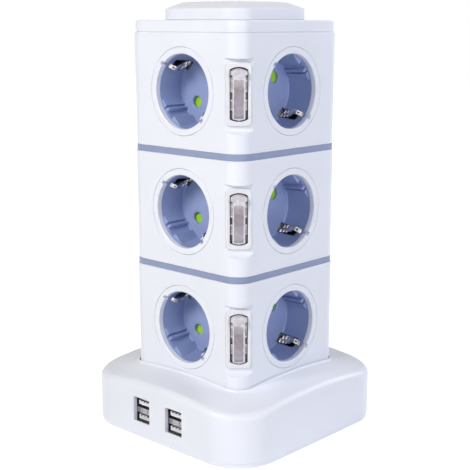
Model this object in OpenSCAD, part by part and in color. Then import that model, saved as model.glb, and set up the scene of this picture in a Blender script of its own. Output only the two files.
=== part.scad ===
// Free-standing tower power strip: a square base with four USB ports, three stacked
// tiers with a socket on each of their four sides, and a rocker switch on one corner
// of each tier. Origin at the centre of the footprint, +Z up, USB ports face -Y and
// the switches look out between +X and -Y.

/* [Base] */
// Width of the square base
base_w = 125.5; // [118:0.5:134]
// Corner radius of the base, seen from above
base_corner_r = 25; // [20:0.5:30]
// Radius of the gentle dome on top of the base
base_dome_r = 340; // [300:10:420]
// Height of the crown of that dome above the floor
base_crown_h = 39; // [38:0.25:41]
// Wall thickness of the base housing
base_wall = 2.4; // [1.8:0.1:3]
// Height of the shelf that the tower stands on
seat_h = 32.2; // [31:0.2:33]
// Thickness of the bottom plate
plate_t = 2.2; // [1.8:0.1:2.8]
// How far the bottom plate is set in from the housing's side
plate_inset = 0.4; // [0.2:0.1:0.8]
// How far the rubber feet stand out below the plate
foot_h = 1; // [0.6:0.1:1.6]
// Radius of a rubber foot
foot_r = 6; // [4.5:0.5:7.5]
// Depth that a foot is sunk into the plate
foot_sink = 0.8; // [0.5:0.1:1.2]
// Distance from a foot's centre to the sides of the base
foot_edge = 18; // [15:0.5:22]
// Radius of the hole in the shelf that the wires pass through
wire_hole_r = 10.4; // [8:0.2:12]

/* [Base screws] */
// Shank radius of the base screws
screw_r = 1.5; // [1.2:0.1:1.8]
// Head radius of the base screws
screw_head_r = 3; // [2.6:0.1:3.4]
// Head height of the base screws
screw_head_h = 1.2; // [0.9:0.1:1.4]
// Length of the screws under the head
screw_l = 11; // [8:0.5:13]
// Radius of the pillars that the screws go into
pillar_r = 4; // [3.5:0.1:4.6]
// Distance of the screws from the middle of the base, along Y
screw_y = 30; // [27:0.5:33]
// Gap between a pillar and the side wall of the base
pillar_gap = 1.5; // [1:0.1:2.5]

/* [USB ports] */
// Distance between the middles of the two stacked ports
usb_pitch = 25.4; // [24:0.2:28]
// Height of the middle of the ports above the floor
usb_z = 17; // [16:0.2:18]
// Inside width of one USB slot
usb_slot_w = 12.5; // [12:0.1:12.8]
// Inside height of one USB slot
usb_slot_h = 5.1; // [4.8:0.1:5.4]
// Distance between the two slots of a stacked port, middle to middle
usb_slot_pitch = 8.4; // [8:0.1:9]
// Thickness of the metal round the slots
usb_metal_t = 0.6; // [0.4:0.1:0.8]
// Depth of a slot
usb_slot_d = 12; // [10:0.5:13]
// Length of a stacked port from its front to its back
usb_body_l = 17; // [15:0.5:19]
// Thickness of the plastic tongue in a slot
usb_tongue_t = 1.8; // [1.6:0.1:2]
// Length of that tongue
usb_tongue_l = 8.6; // [7:0.2:9]
// Height of the tongue above the middle of its slot
usb_tongue_rise = 0.7; // [0.4:0.1:1]
// Thickness of the circuit board
board_t = 1.6; // [1.2:0.1:2]
// Depth of the circuit board, front to back
board_l = 40; // [34:1:44]
// Width of the circuit board
board_w = 46; // [44:1:52]
// Distance of the board's front edge behind the ports' fronts
board_setback = 2; // [1:0.25:4]
// Radius of the posts that hold the board up
post_r = 3; // [2.5:0.1:3.5]
// Distance between a tongue and the sides of its slot
usb_tongue_gap = 0.7; // [0.4:0.1:1]
// Height that the board's parts stay below the top of the ports
board_part_drop = 2; // [1:0.25:4]

/* [Cable inlet] */
// Radius of the cord's hole through the inlet
inlet_bore_r = 3.6; // [3:0.1:4]
// Radius of the inlet where it passes the wall
inlet_body_r = 6; // [5.5:0.1:6.5]
// Radius of the inlet's outer flange
inlet_flange_r = 8; // [7.5:0.1:9]
// Length of the inlet from its outer face into the base
inlet_l = 10; // [8:0.5:13]
// Thickness of the outer flange, which is let into the wall
inlet_flange_t = 1.2; // [0.8:0.1:1.6]
// Height of the inlet's axis above the floor
inlet_z = 15; // [14:0.5:17]

/* [Tower] */
// Width of the square tower
tower_w = 84.5; // [82:0.5:88]
// Corner radius of the tower
tower_corner_r = 10; // [9:0.5:11.5]
// Wall thickness of the tiers
tower_wall = 2.2; // [1.9:0.1:2.6]
// Height of one tier
tier_h = 61.5; // [60:0.5:66]
// Height of the coloured ring between two tiers
ring_h = 3.5; // [2.5:0.25:4.5]
// How far a ring is set in from the tiers' sides
ring_inset = 0.4; // [0.2:0.1:0.7]
// Height of the lips that centre the rings and the cap inside the tiers
lip_h = 3; // [2:0.25:3.5]
// Thickness of those lips
lip_t = 1.8; // [1.4:0.1:2.2]

/* [Top] */
// Height of the top cap
cap_h = 6.8; // [6:0.2:8]
// Thickness of the cap's skin
cap_t = 2.4; // [1.8:0.1:3]
// Height of the shadow gap under the cap
cap_gap_h = 0.5; // [0.3:0.1:0.8]
// Depth of that shadow gap
cap_gap_d = 0.6; // [0.4:0.1:1]
// How far the cap is set in from the tiers' sides
cap_inset = 0.3; // [0:0.1:0.8]
// Width of the raised square lid
lid_w = 62.7; // [58:0.5:68]
// Corner radius of the raised lid
lid_corner_r = 14; // [10:0.5:16]
// Height of the lid's upright side
lid_side_h = 6.4; // [5:0.2:8]
// Height of the lid's sloping shoulder
lid_slope_h = 3; // [2:0.2:4]
// Width of that shoulder
lid_slope_w = 7.5; // [6:0.5:9]
// Height of the last low rise in the middle of the lid
lid_rise_h = 0.6; // [0.3:0.1:1]
// Wall thickness of the lid
lid_wall = 2; // [1.5:0.1:2.5]

/* [Sockets] */
// Radius of the round plug recess
recess_r = 20; // [19.6:0.1:20.4]
// Width of the white collar round the recess
collar_w = 3.7; // [3.2:0.1:4]
// Depth of the white collar, where the coloured insert begins
collar_depth = 3.2; // [2.9:0.1:3.6]
// Wall thickness of the insert
cup_wall = 1.5; // [1.3:0.05:1.7]
// Floor thickness of the insert
cup_floor = 1.7; // [1.5:0.1:2]
// Gap between the insides of neighbouring inserts, which sets how deep they can be
cup_gap = 0.45; // [0.35:0.05:0.7]
// Width of the notches in the collar's inner edge, in line with the clips
notch_w = 2.6; // [2:0.1:3.2]
// Depth of those notches
notch_d = 1.6; // [1:0.1:2]
// Width of the flange that backs the tier's wall
flange_w = 2.3; // [1.6:0.1:2.8]
// Thickness of the flange behind the collar
flange_t = 2; // [1.5:0.1:2.4]
// Distance between the two pin holes
pin_pitch = 19; // [18.8:0.1:19.2]
// Radius of a pin hole
pin_hole_r = 3.1; // [2.9:0.1:3.3]
// Angle of the pin line from level, seen facing the socket
pin_tilt = 45; // [43:1:47]

/* [Guide lugs] */
// Distance of the lugs' faces from the middle of the recess
lug_face_d = 17; // [16.8:0.1:17.4]
// Depth of the channel below the lugs' faces
lug_channel_d = 1.6; // [1.2:0.1:2]
// Distance of the lugs' front ends behind the insert's rim
lug_setback = 1; // [0.5:0.25:2]
// Width of a lug's flat
lug_flat_w = 4.6; // [4:0.1:5]
// Width of the groove beside the flat
lug_groove_w = 0.8; // [0.6:0.1:1]
// Width of the rib beside the groove
lug_rib_w = 2; // [1.6:0.1:2.4]
// Width of the channel between the rib and the block
lug_channel_w = 5.2; // [4.6:0.1:5.6]
// Width of the block on the channel's other side
lug_block_w = 7.4; // [7:0.1:7.8]

/* [Earth clips] */
// Width of a clip
clip_w = 4.6; // [4:0.1:5.2]
// Thickness of the clip's strip
clip_t = 0.8; // [0.6:0.1:0.9]
// Distance of the clip's foot from the middle of the recess
clip_foot_d = 18.4; // [18:0.1:18.8]
// How far the clip's crest stands into the recess from its foot
clip_crest_d = 2.4; // [2:0.1:2.8]
// How far the clip's tip stands in from its foot
clip_tip_d = 0.8; // [0.5:0.1:1.2]
// Height of the clip above the recess floor
clip_h = 15.4; // [14:0.25:16]
// Height of the clip's crest above the recess floor
clip_crest_h = 12.3; // [11:0.25:13]
// Height above the recess floor where the clip leaves the wall
clip_bend_h = 2; // [1.5:0.25:3]
// Height of the slot for the clip above the recess floor
clip_slot_h = 11.2; // [10:0.25:12.5]
// Length of the foot behind the recess floor
clip_foot_l = 5; // [4.6:0.2:6]

/* [Shutters] */
// Width of a shutter across the pin line
shutter_w = 7.2; // [7:0.1:7.6]
// Thickness of a shutter
shutter_t = 1.5; // [1.2:0.1:1.7]
// How far a shutter slides to open both holes
shutter_travel = 7; // [6.9:0.1:7.4]
// How far a shutter reaches past the outside of the pin holes
shutter_end = 0.8; // [0.5:0.1:1.2]

/* [Contacts and core] */
// Outer radius of a contact sleeve
contact_r = 3.4; // [3.2:0.1:3.6]
// Inner radius of a contact sleeve
contact_bore_r = 2.5; // [2.4:0.05:2.6]
// Length of a contact sleeve
contact_l = 12; // [10:0.5:13]
// Height of the plastic core in each tier
core_h = 34; // [32:0.5:38]
// Width of the wire shaft through the cores
shaft_w = 5.2; // [4.8:0.1:5.4]
// Thickness of the link plates and their tabs
link_t = 1; // [0.8:0.1:1.2]
// Half the width of a link plate
link_half_w = 17; // [16:0.5:18]
// Thickness of the supply bars
bar_t = 0.8; // [0.6:0.05:0.9]
// Width of the supply bars
bar_w = 4; // [3.5:0.1:4.4]
// Length of the supply bars below the shelf
bar_tail_l = 6; // [4:0.5:8]
// Length of the supply bars above the top core
bar_head_l = 2; // [1:0.25:4]
// Depth of the link plates' tabs
tab_l = 4; // [3:0.25:5]
// Width of the slot along a contact sleeve
sleeve_slot_w = 1; // [0.6:0.1:1.4]

/* [Tie rods] */
// Radius of the three tie rods
rod_r = 1.8; // [1.5:0.1:2]
// Radius of the bosses round the rods
boss_r = 3.8; // [3.6:0.1:4.2]
// Gap between a boss and the flanges of the inserts
boss_gap = 0.5; // [0.4:0.1:1.6]
// Length that a rod stops short of the end of its hole in the cap
rod_end_gap = 1; // [0.5:0.25:2]
// Head radius of a rod
rod_head_r = 3.4; // [3:0.1:3.8]
// Head height of a rod
rod_head_h = 2.2; // [1.8:0.1:2.8]
// Width of the ribs between bosses and corners
rib_w = 2.4; // [1.8:0.1:3]
// How far the ribs stop short of the bosses' ends
rib_step = 1; // [0.5:0.25:2]

/* [Rocker switches] */
// Depth of the flat cut into the rounded corner
corner_cut = 3.3; // [3:0.1:3.8]
// Height of that flat
flat_h = 37.4; // [36:0.2:40]
// Thickness of the wall behind the flat
flat_wall = 2.4; // [2:0.1:2.8]
// Width of the switch's bezel
bezel_w = 13.9; // [13.6:0.1:14.4]
// Height of the bezel
bezel_h = 33.1; // [32.4:0.1:34]
// Corner radius of the bezel
bezel_r = 3; // [2:0.1:3.6]
// Thickness of the bezel
bezel_t = 1.5; // [1.2:0.1:1.8]
// Width of the rocker
rocker_w = 8.7; // [8.4:0.1:9]
// Height of the rocker, the diameter that its ends swing on
rocker_h = 27; // [26.4:0.1:27.4]
// Rise of the arched ends of the rocker
rocker_arch = 1.4; // [1:0.1:1.8]
// Angle that the rocker turns from one stop to the other
rocker_throw = 12; // [8:1:14]
// Distance of the rocker's axis behind the flat
rocker_axis_d = 1.3; // [1.2:0.1:1.6]
// Height of the rocker's middle above its axis
rocker_mid_h = 3; // [2.8:0.1:3.3]
// Height of the rocker's ends above its axis
rocker_end_h = 3.9; // [3.6:0.1:4.2]
// Thickness of the rocker's ends
rocker_end_t = 3.4; // [3:0.1:4]
// Radius of the rocker's pivot pins
pivot_r = 1; // [0.8:0.1:1.1]
// Thickness of the rocker's hub round the pins
hub_t = 1.3; // [1.1:0.1:1.6]
// Depth of the switch body behind the flat
switch_depth = 10; // [9.5:0.5:11]
// Wall thickness of the switch body
switch_wall = 1; // [0.9:0.05:1.1]

/* [Fits] */
// Gap between parts that are assembled and stay still
fit = 0.15; // [0.1:0.05:0.2]
// Gap round parts that slide
slide_gap = 0.3; // [0.25:0.05:0.4]
// Gap at the sides of the rocker
rocker_gap = 0.4; // [0.35:0.05:0.5]
// Gap at the ends of the rocker, where its ends swing
rocker_end_gap = 0.5; // [0.4:0.05:0.6]
// Running clearance of the rocker's pivot, on the radius
pivot_gap = 0.08; // [0.05:0.01:0.1]

/* [Hidden] */
$fn = 96;
FACES = ["front", "right", "back", "left"];
TIERS = ["lower", "middle", "upper"];

// A small overlap, so that cuts run clean through and unions fuse
eps = 0.5;

face_u = tower_w / 2;
plate_bottom = foot_h;
plate_top = plate_bottom + plate_t;
tier_pitch = tier_h + ring_h;
tower_top = seat_h + 3 * tier_h + 2 * ring_h;
cap_top = tower_top + cap_h;
collar_r = recess_r + collar_w;
flange_r = collar_r + flange_w;
floor_back = face_u - recess_r - cup_wall - cup_gap;
recess_depth = floor_back - cup_floor;
pocket_d = shutter_t + 2 * slide_gap;
core_u = face_u - floor_back - fit;
shutter_half_l = pin_pitch / 2 + pin_hole_r + shutter_end;
flat_d = (face_u - tower_corner_r) * sqrt(2) + tower_corner_r - corner_cut;
rod_at = face_u - collar_depth - flange_t - boss_gap - boss_r;
foot_at = base_w / 2 - foot_edge;
screw_x = base_w / 2 - base_wall - pillar_gap - pillar_r;
pin_at = pin_pitch / 2 * cos(pin_tilt);
pin_up = pin_pitch / 2 * sin(pin_tilt);
contact_top = floor_back + pocket_d + fit;
usb_body_w = usb_slot_w + 2 * usb_metal_t;
usb_body_h = usb_slot_pitch + usb_slot_h + 2 * usb_metal_t;
usb_front = base_w / 2 - base_wall - fit;
board_top = usb_z - usb_body_h / 2;
board_front = board_setback - usb_front;
switch_w = rocker_w + 2 * rocker_gap + 2 * switch_wall;
switch_l = rocker_h + 2 * rocker_end_gap + 2 * switch_wall;
// Distance of the link tabs from the tower's axis, over the middle of the sleeves
tab_u = face_u - contact_top - contact_l / 2;

function tier_z(i) = seat_h + i * tier_pitch + tier_h / 2;

module rounded_square(w, r) {
    square([w, w - 2 * r], center = true);
    square([w - 2 * r, w], center = true);
    for (sx = [-1, 1], sy = [-1, 1])
        translate([sx * (w / 2 - r), sy * (w / 2 - r)]) circle(r = r);
}

module slab(w, r, z0, z1) {
    translate([0, 0, z0]) linear_extrude(height = z1 - z0) rounded_square(w, r);
}

// A block under the base's dome, drawn in by a distance from the outside
module domed_block(inset, z0) {
    intersection() {
        slab(base_w - 2 * inset, base_corner_r - inset, z0, base_crown_h + eps);
        translate([0, 0, base_crown_h - base_dome_r])
            sphere(r = base_dome_r - inset, $fn = 180);
    }
}

// Places children on a side of the tower: X to the right, Y up, Z outwards
module on_face(k) {
    rotate([0, 0, 90 * k]) translate([0, -face_u, 0]) rotate([90, 0, 0]) children();
}

// Places children on the flat of the switch corner in the same way
module on_corner() {
    rotate([0, 0, 45]) translate([0, -flat_d, 0]) rotate([90, 0, 0]) children();
}

module on_tier(i) {
    translate([0, 0, tier_z(i)]) children();
}

// The three corners that hold tie rods, leaving out the switch corner
module at_rods() {
    for (turn = [0, 90, 180]) rotate([0, 0, turn]) translate([rod_at, rod_at, 0]) children();
}

module at_feet() {
    for (sx = [-1, 1], sy = [-1, 1]) translate([sx * foot_at, sy * foot_at, 0]) children();
}

module at_screws() {
    for (sx = [-1, 1], sy = [-1, 1]) translate([sx * screw_x, sy * screw_y, 0]) children();
}

module at_ports() {
    for (side = [-1, 1]) translate([side * usb_pitch / 2, 0, usb_z]) children();
}

module base_housing() {
    seat_floor = seat_h - base_wall;
    color("white") difference() {
        union() {
            difference() {
                domed_block(0, plate_top);
                difference() {
                    domed_block(base_wall, plate_top - eps);
                    slab(tower_w + 2 * base_wall, tower_corner_r + base_wall, seat_floor, base_crown_h);
                }
            }
            intersection() {
                at_screws() translate([0, 0, plate_top]) cylinder(r = pillar_r, h = base_crown_h);
                domed_block(base_wall / 2, plate_top);
            }
        }
        slab(tower_w + 2 * fit, tower_corner_r + fit, seat_h, base_crown_h + eps);
        translate([0, 0, seat_floor - eps]) cylinder(r = wire_hole_r, h = base_wall + 2 * eps);
        at_rods() translate([0, 0, seat_floor - eps]) cylinder(r = rod_r + fit, h = base_wall + 2 * eps);
        at_screws() translate([0, 0, plate_top - eps]) cylinder(r = screw_r, h = screw_l);
        at_ports() translate([0, -base_w / 2 + base_wall / 2, 0])
            cube([usb_slot_w, base_wall + 2 * eps, usb_slot_pitch + usb_slot_h], center = true);
        translate([0, base_w / 2 + eps, inlet_z]) rotate([90, 0, 0]) {
            cylinder(r = inlet_body_r + fit, h = base_wall + 2 * eps);
            cylinder(r = inlet_flange_r + fit, h = inlet_flange_t + eps);
        }
    }
}

module base_plate() {
    head_seat = screw_head_h + fit;
    post_x = board_w / 2 - 1.25 * post_r;
    post_y = board_l / 2 - 1.25 * post_r;
    color("whitesmoke") difference() {
        union() {
            slab(base_w - 2 * plate_inset, base_corner_r - plate_inset, plate_bottom, plate_top);
            translate([0, board_front + board_l / 2, plate_bottom]) for (sx = [-1, 1], sy = [-1, 1])
                translate([sx * post_x, sy * post_y, 0])
                    cylinder(r = post_r, h = board_top - board_t - plate_bottom);
        }
        at_feet() translate([0, 0, plate_bottom - eps]) cylinder(r = foot_r + fit, h = foot_sink + eps);
        at_screws() translate([0, 0, plate_bottom - eps]) {
            cylinder(r = screw_r + fit, h = plate_t + 2 * eps);
            cylinder(r = screw_head_r + fit, h = head_seat + eps);
        }
    }
}

module rubber_feet() {
    color("dimgray") at_feet() cylinder(r = foot_r, h = foot_h + foot_sink);
}

module base_screws() {
    color("silver") at_screws() translate([0, 0, plate_bottom + fit]) {
        cylinder(r = screw_head_r, h = screw_head_h);
        cylinder(r = screw_r, h = screw_head_h + screw_l - 2 * fit - screw_r);
    }
}

module cable_inlet() {
    color("white") translate([0, base_w / 2, inlet_z]) rotate([90, 0, 0]) difference() {
        union() {
            cylinder(r = inlet_flange_r, h = inlet_flange_t);
            cylinder(r = inlet_body_r, h = inlet_l);
        }
        translate([0, 0, -eps]) cylinder(r = inlet_bore_r, h = inlet_l + 2 * eps);
    }
}

// Circuit board with a transformer and a round capacitor behind the ports
module usb_board() {
    part_h = usb_body_h - board_part_drop;
    coil_w = 0.4 * board_w;
    coil_l = 0.35 * board_l;
    capacitor_r = 0.1 * board_l;
    board_back = board_front + board_l - 0.75 * capacitor_r;
    color("darkgreen") {
        translate([-board_w / 2, board_front, board_top - board_t]) cube([board_w, board_l, board_t]);
        translate([-coil_w / 2, board_back - coil_l, board_top - eps])
            cube([coil_w, coil_l, part_h + eps]);
        translate([board_w / 2 - 1.75 * capacitor_r, board_back - capacitor_r, board_top - eps])
            cylinder(r = capacitor_r, h = part_h + eps);
    }
}

module usb_port(side) {
    color("silver") translate([side * usb_pitch / 2, -usb_front, usb_z]) difference() {
        translate([-usb_body_w / 2, 0, -usb_body_h / 2]) cube([usb_body_w, usb_body_l, usb_body_h]);
        for (up = [-1, 1])
            translate([-usb_slot_w / 2, -eps, up * usb_slot_pitch / 2 - usb_slot_h / 2])
                cube([usb_slot_w, usb_slot_d + eps, usb_slot_h]);
    }
}

module usb_tongues() {
    tongue_w = usb_slot_w - 2 * usb_tongue_gap;
    rise = usb_tongue_rise - usb_tongue_t / 2;
    color("white") at_ports() for (up = [-1, 1])
        translate([-tongue_w / 2, usb_slot_d - usb_front - usb_tongue_l, up * usb_slot_pitch / 2 + rise])
            cube([tongue_w, usb_tongue_l, usb_tongue_t]);
}

module tier_housing(i) {
    inner_w = tower_w - 2 * tower_wall;
    inner_r = tower_corner_r - tower_wall;
    boss_h = tier_h - 2 * (lip_h + slide_gap);
    rib_h = boss_h - 2 * rib_step;
    rib_l = tower_corner_r * 1.2;
    pad_d = flat_d - flat_wall;
    color("white") on_tier(i) difference() {
        union() {
            difference() {
                slab(tower_w, tower_corner_r, -tier_h / 2, tier_h / 2);
                slab(inner_w, inner_r, -tier_h / 2 - eps, tier_h / 2 + eps);
            }
            intersection() {
                slab(tower_w, tower_corner_r, -flat_h / 2 - flat_wall, flat_h / 2 + flat_wall);
                rotate([0, 0, 45]) translate([-tower_w / 2, -tower_w, -tier_h / 2])
                    cube([tower_w, tower_w - pad_d, tier_h]);
            }
            intersection() {
                slab(tower_w - tower_wall, tower_corner_r - tower_wall / 2, -tier_h / 2, tier_h / 2);
                union() {
                    at_rods() translate([0, 0, -boss_h / 2]) cylinder(r = boss_r, h = boss_h);
                    at_rods() rotate([0, 0, 45])
                        translate([boss_r / 2, -rib_w / 2, -rib_h / 2]) cube([rib_l, rib_w, rib_h]);
                }
            }
        }
        for (k = [0:3]) on_face(k) translate([0, 0, -tower_wall - eps])
            cylinder(r = collar_r, h = tower_wall + 2 * eps);
        on_corner() translate([-tower_corner_r, -flat_h / 2, 0])
            cube([2 * tower_corner_r, flat_h, tower_corner_r]);
        on_corner() translate([0, 0, -flat_wall - eps])
            linear_extrude(height = flat_wall + 2 * eps) switch_outline(fit);
        at_rods() translate([0, 0, -tier_h / 2 - eps]) cylinder(r = rod_r + fit, h = tier_h + 2 * eps);
    }
}

// Ring between two tiers, with lips that reach into both
module trim_ring(i) {
    lip_w = tower_w - 2 * tower_wall - 2 * fit;
    lip_r = tower_corner_r - tower_wall - fit;
    z0 = seat_h + i * tier_pitch + tier_h;
    color("lightsteelblue") difference() {
        union() {
            slab(tower_w - 2 * ring_inset, tower_corner_r - ring_inset, z0, z0 + ring_h);
            slab(lip_w, lip_r, z0 - lip_h, z0 + ring_h + lip_h);
        }
        slab(lip_w - 2 * lip_t, lip_r - lip_t, z0 - lip_h - eps, z0 + ring_h + lip_h + eps);
    }
}

module top_cap() {
    cap_w = tower_w - 2 * cap_inset;
    cap_r = tower_corner_r - cap_inset;
    lip_w = tower_w - 2 * tower_wall - 2 * fit;
    lip_r = tower_corner_r - tower_wall - fit;
    boss_bottom = tower_top - lip_h;
    color("white") difference() {
        union() {
            difference() {
                union() {
                    slab(cap_w, cap_r, tower_top + cap_gap_h, cap_top);
                    slab(cap_w - 2 * cap_gap_d, cap_r - cap_gap_d, tower_top, cap_top - eps);
                    slab(lip_w, lip_r, tower_top - lip_h, cap_top - eps);
                }
                slab(lip_w - 2 * lip_t, lip_r - lip_t, tower_top - lip_h - eps, cap_top - cap_t);
            }
            at_rods() translate([0, 0, boss_bottom]) cylinder(r = boss_r, h = cap_top - eps - boss_bottom);
        }
        at_rods() translate([0, 0, boss_bottom - eps])
            cylinder(r = rod_r + fit, h = cap_top - cap_t + eps - boss_bottom);
    }
}

// Outlines at three levels, hulled into the lid's upright side, shoulder and middle
module lid_form(inset) {
    slice = 0.1;
    side_w = lid_w - 2 * inset;
    side_r = lid_corner_r - inset;
    shoulder_w = side_w - 2 * lid_slope_w;
    shoulder_r = side_r - lid_slope_w / 2;
    shoulder_z = lid_side_h + lid_slope_h;
    $fn = 48;
    hull() {
        slab(side_w, side_r, 0, lid_side_h);
        slab(shoulder_w, shoulder_r, shoulder_z - slice, shoulder_z);
        slab(shoulder_w / 2, shoulder_r / 2, shoulder_z, shoulder_z + lid_rise_h);
    }
}

module top_lid() {
    color("white") translate([0, 0, cap_top]) difference() {
        lid_form(0);
        translate([0, 0, -lid_wall]) lid_form(lid_wall);
    }
}

module tie_rods() {
    rod_bottom = seat_h - base_wall;
    rod_l = cap_top - cap_t - rod_bottom - rod_end_gap;
    color("silver") at_rods() translate([0, 0, rod_bottom]) {
        translate([0, 0, -rod_head_h]) cylinder(r = rod_head_r, h = rod_head_h);
        cylinder(r = rod_r, h = rod_l);
    }
}

module supply_bars() {
    bottom = seat_h - base_wall - bar_tail_l;
    top = tier_z(2) + core_h / 2 + bar_head_l;
    spacing = shaft_w / 2 - bar_t / 2 - slide_gap;
    color("peru") for (n = [-1, 0, 1])
        translate([n * spacing - bar_t / 2, -bar_w / 2, bottom]) cube([bar_t, bar_w, top - bottom]);
}

// Outline of the switch body, or of the hole for it with some clearance
module switch_outline(gap) {
    square([switch_w + 2 * gap, switch_l + 2 * gap], center = true);
}

// Upright outline with arched ends, as the rocker and its opening have
module arched_outline(w, h, arch) {
    r = (w * w / 4 + arch * arch) / (2 * arch);
    intersection() {
        square([w, h], center = true);
        union() {
            square([w, h - 2 * arch], center = true);
            for (up = [-1, 1]) translate([0, up * (h / 2 - r)]) circle(r = r);
        }
    }
}

module bezel_outline() {
    square([bezel_w, bezel_h - 2 * bezel_r], center = true);
    square([bezel_w - 2 * bezel_r, bezel_h], center = true);
    for (sx = [-1, 1], sy = [-1, 1])
        translate([sx * (bezel_w / 2 - bezel_r), sy * (bezel_h / 2 - bezel_r)]) circle(r = bezel_r);
}

module switch_body(i) {
    color("white") on_tier(i) on_corner() difference() {
        union() {
            linear_extrude(height = bezel_t) bezel_outline();
            translate([0, 0, -switch_depth]) linear_extrude(height = switch_depth + eps) switch_outline(0);
        }
        translate([0, 0, -switch_depth + switch_wall])
            linear_extrude(height = switch_depth + bezel_t)
                arched_outline(rocker_w + 2 * rocker_gap, rocker_h + 2 * rocker_end_gap, rocker_arch);
        translate([0, 0, -rocker_axis_d]) rotate([0, 90, 0])
            cylinder(r = pivot_r + pivot_gap, h = switch_w - switch_wall / 2, center = true);
    }
}

// Side view of the rocker about its axis: X outwards, Y up. The ends swing on a circle
module rocker_profile() {
    end = rocker_h / 2;
    hub = pivot_r + hub_t;
    end_back = rocker_end_h - rocker_end_t;
    intersection() {
        circle(r = end);
        polygon([
            [rocker_end_h, end], [rocker_mid_h, 0], [rocker_end_h, -end],
            [end_back, -end], [-hub, -hub], [-hub, hub], [end_back, end]
        ]);
    }
}

module rocker(i) {
    pin_l = switch_w - switch_wall;
    color("gainsboro") on_tier(i) on_corner() translate([0, 0, -rocker_axis_d])
        rotate([rocker_throw / 2, 0, 0]) {
            intersection() {
                rotate([0, -90, 0]) translate([0, 0, -rocker_w / 2])
                    linear_extrude(height = rocker_w) rocker_profile();
                translate([0, 0, -rocker_h / 2]) linear_extrude(height = rocker_h)
                    arched_outline(rocker_w, rocker_h, rocker_arch);
            }
            rotate([0, 90, 0]) cylinder(r = pivot_r, h = pin_l, center = true);
        }
}

module collar() {
    difference() {
        translate([0, 0, -collar_depth]) cylinder(r = collar_r - fit, h = collar_depth);
        translate([0, 0, -collar_depth - eps]) cylinder(r = recess_r, h = collar_depth + 2 * eps);
        for (turn = [90, 270]) rotate([0, 0, pin_tilt + turn])
            translate([0, -notch_w / 2, -collar_depth - eps])
                cube([recess_r + notch_d, notch_w, collar_depth + 2 * eps]);
    }
}

module collars(i) {
    color("white") on_tier(i) for (k = [0:3]) on_face(k) collar();
}

// One guide lug along the wall: a flat, a groove, a rib, a channel and a wider block
module guide_lug() {
    lug_bottom = -recess_depth - eps;
    lug_l = recess_depth - collar_depth - lug_setback + eps;
    lug_w = lug_flat_w + lug_groove_w + lug_rib_w + lug_channel_w + lug_block_w;
    rib_start = lug_flat_w + lug_groove_w - lug_w / 2;
    intersection() {
        translate([0, 0, lug_bottom]) cylinder(r = recess_r + cup_wall / 2, h = lug_l);
        union() {
            translate([lug_face_d + lug_channel_d, -lug_w / 2, lug_bottom]) cube([recess_r, lug_w, lug_l]);
            translate([lug_face_d, -lug_w / 2, lug_bottom]) cube([recess_r, lug_flat_w, lug_l]);
            translate([lug_face_d, rib_start, lug_bottom]) cube([recess_r, lug_rib_w, lug_l]);
            translate([lug_face_d, lug_w / 2 - lug_block_w, lug_bottom]) cube([recess_r, lug_block_w, lug_l]);
        }
    }
}

module insert(i, k) {
    clip_cut_w = clip_w + 2 * slide_gap;
    clip_cut_d = clip_foot_d - slide_gap;
    color("lightsteelblue") on_tier(i) on_face(k) difference() {
        union() {
            difference() {
                union() {
                    translate([0, 0, -collar_depth - flange_t])
                        cylinder(r = flange_r, h = collar_depth + flange_t - tower_wall);
                    translate([0, 0, -floor_back])
                        cylinder(r = recess_r + cup_wall, h = floor_back - collar_depth);
                }
                translate([0, 0, -collar_depth]) cylinder(r = collar_r, h = collar_depth);
                translate([0, 0, -recess_depth]) cylinder(r = recess_r, h = recess_depth);
            }
            for (turn = [0, 180]) rotate([0, 0, pin_tilt + 180 + turn]) guide_lug();
        }
        rotate([0, 0, pin_tilt]) {
            for (side = [-1, 1]) translate([side * pin_pitch / 2, 0, -floor_back - eps])
                cylinder(r = pin_hole_r, h = cup_floor + 2 * eps);
            for (turn = [90, 270]) rotate([0, 0, turn])
                translate([clip_cut_d, -clip_cut_w / 2, -floor_back - eps])
                    cube([recess_r + cup_wall / 2 - clip_cut_d, clip_cut_w, cup_floor + clip_slot_h + eps]);
        }
    }
}

// Bent spring strip, drawn from the side: X outwards from the middle, Y out of the floor
module earth_clip() {
    path = [
        [clip_foot_d, -clip_foot_l], [clip_foot_d, clip_bend_h],
        [clip_foot_d - clip_crest_d, clip_crest_h], [clip_foot_d - clip_tip_d, clip_h]
    ];
    way_back = [for (j = [len(path) - 1:-1:0]) path[j] + [clip_t, 0]];
    translate([0, 0, -recess_depth]) rotate([90, 0, 0]) translate([0, 0, -clip_w / 2])
        linear_extrude(height = clip_w) polygon(concat(path, way_back));
}

module earth_clips(i) {
    color("silver") on_tier(i) for (k = [0:3]) on_face(k) rotate([0, 0, pin_tilt])
        for (turn = [90, 270]) rotate([0, 0, turn]) earth_clip();
}

module shutter(i, k) {
    color("yellowgreen") on_tier(i) on_face(k) rotate([0, 0, pin_tilt])
        translate([-shutter_half_l, -shutter_w / 2, -floor_back - slide_gap - shutter_t])
            cube([2 * shutter_half_l, shutter_w, shutter_t]);
}

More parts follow.
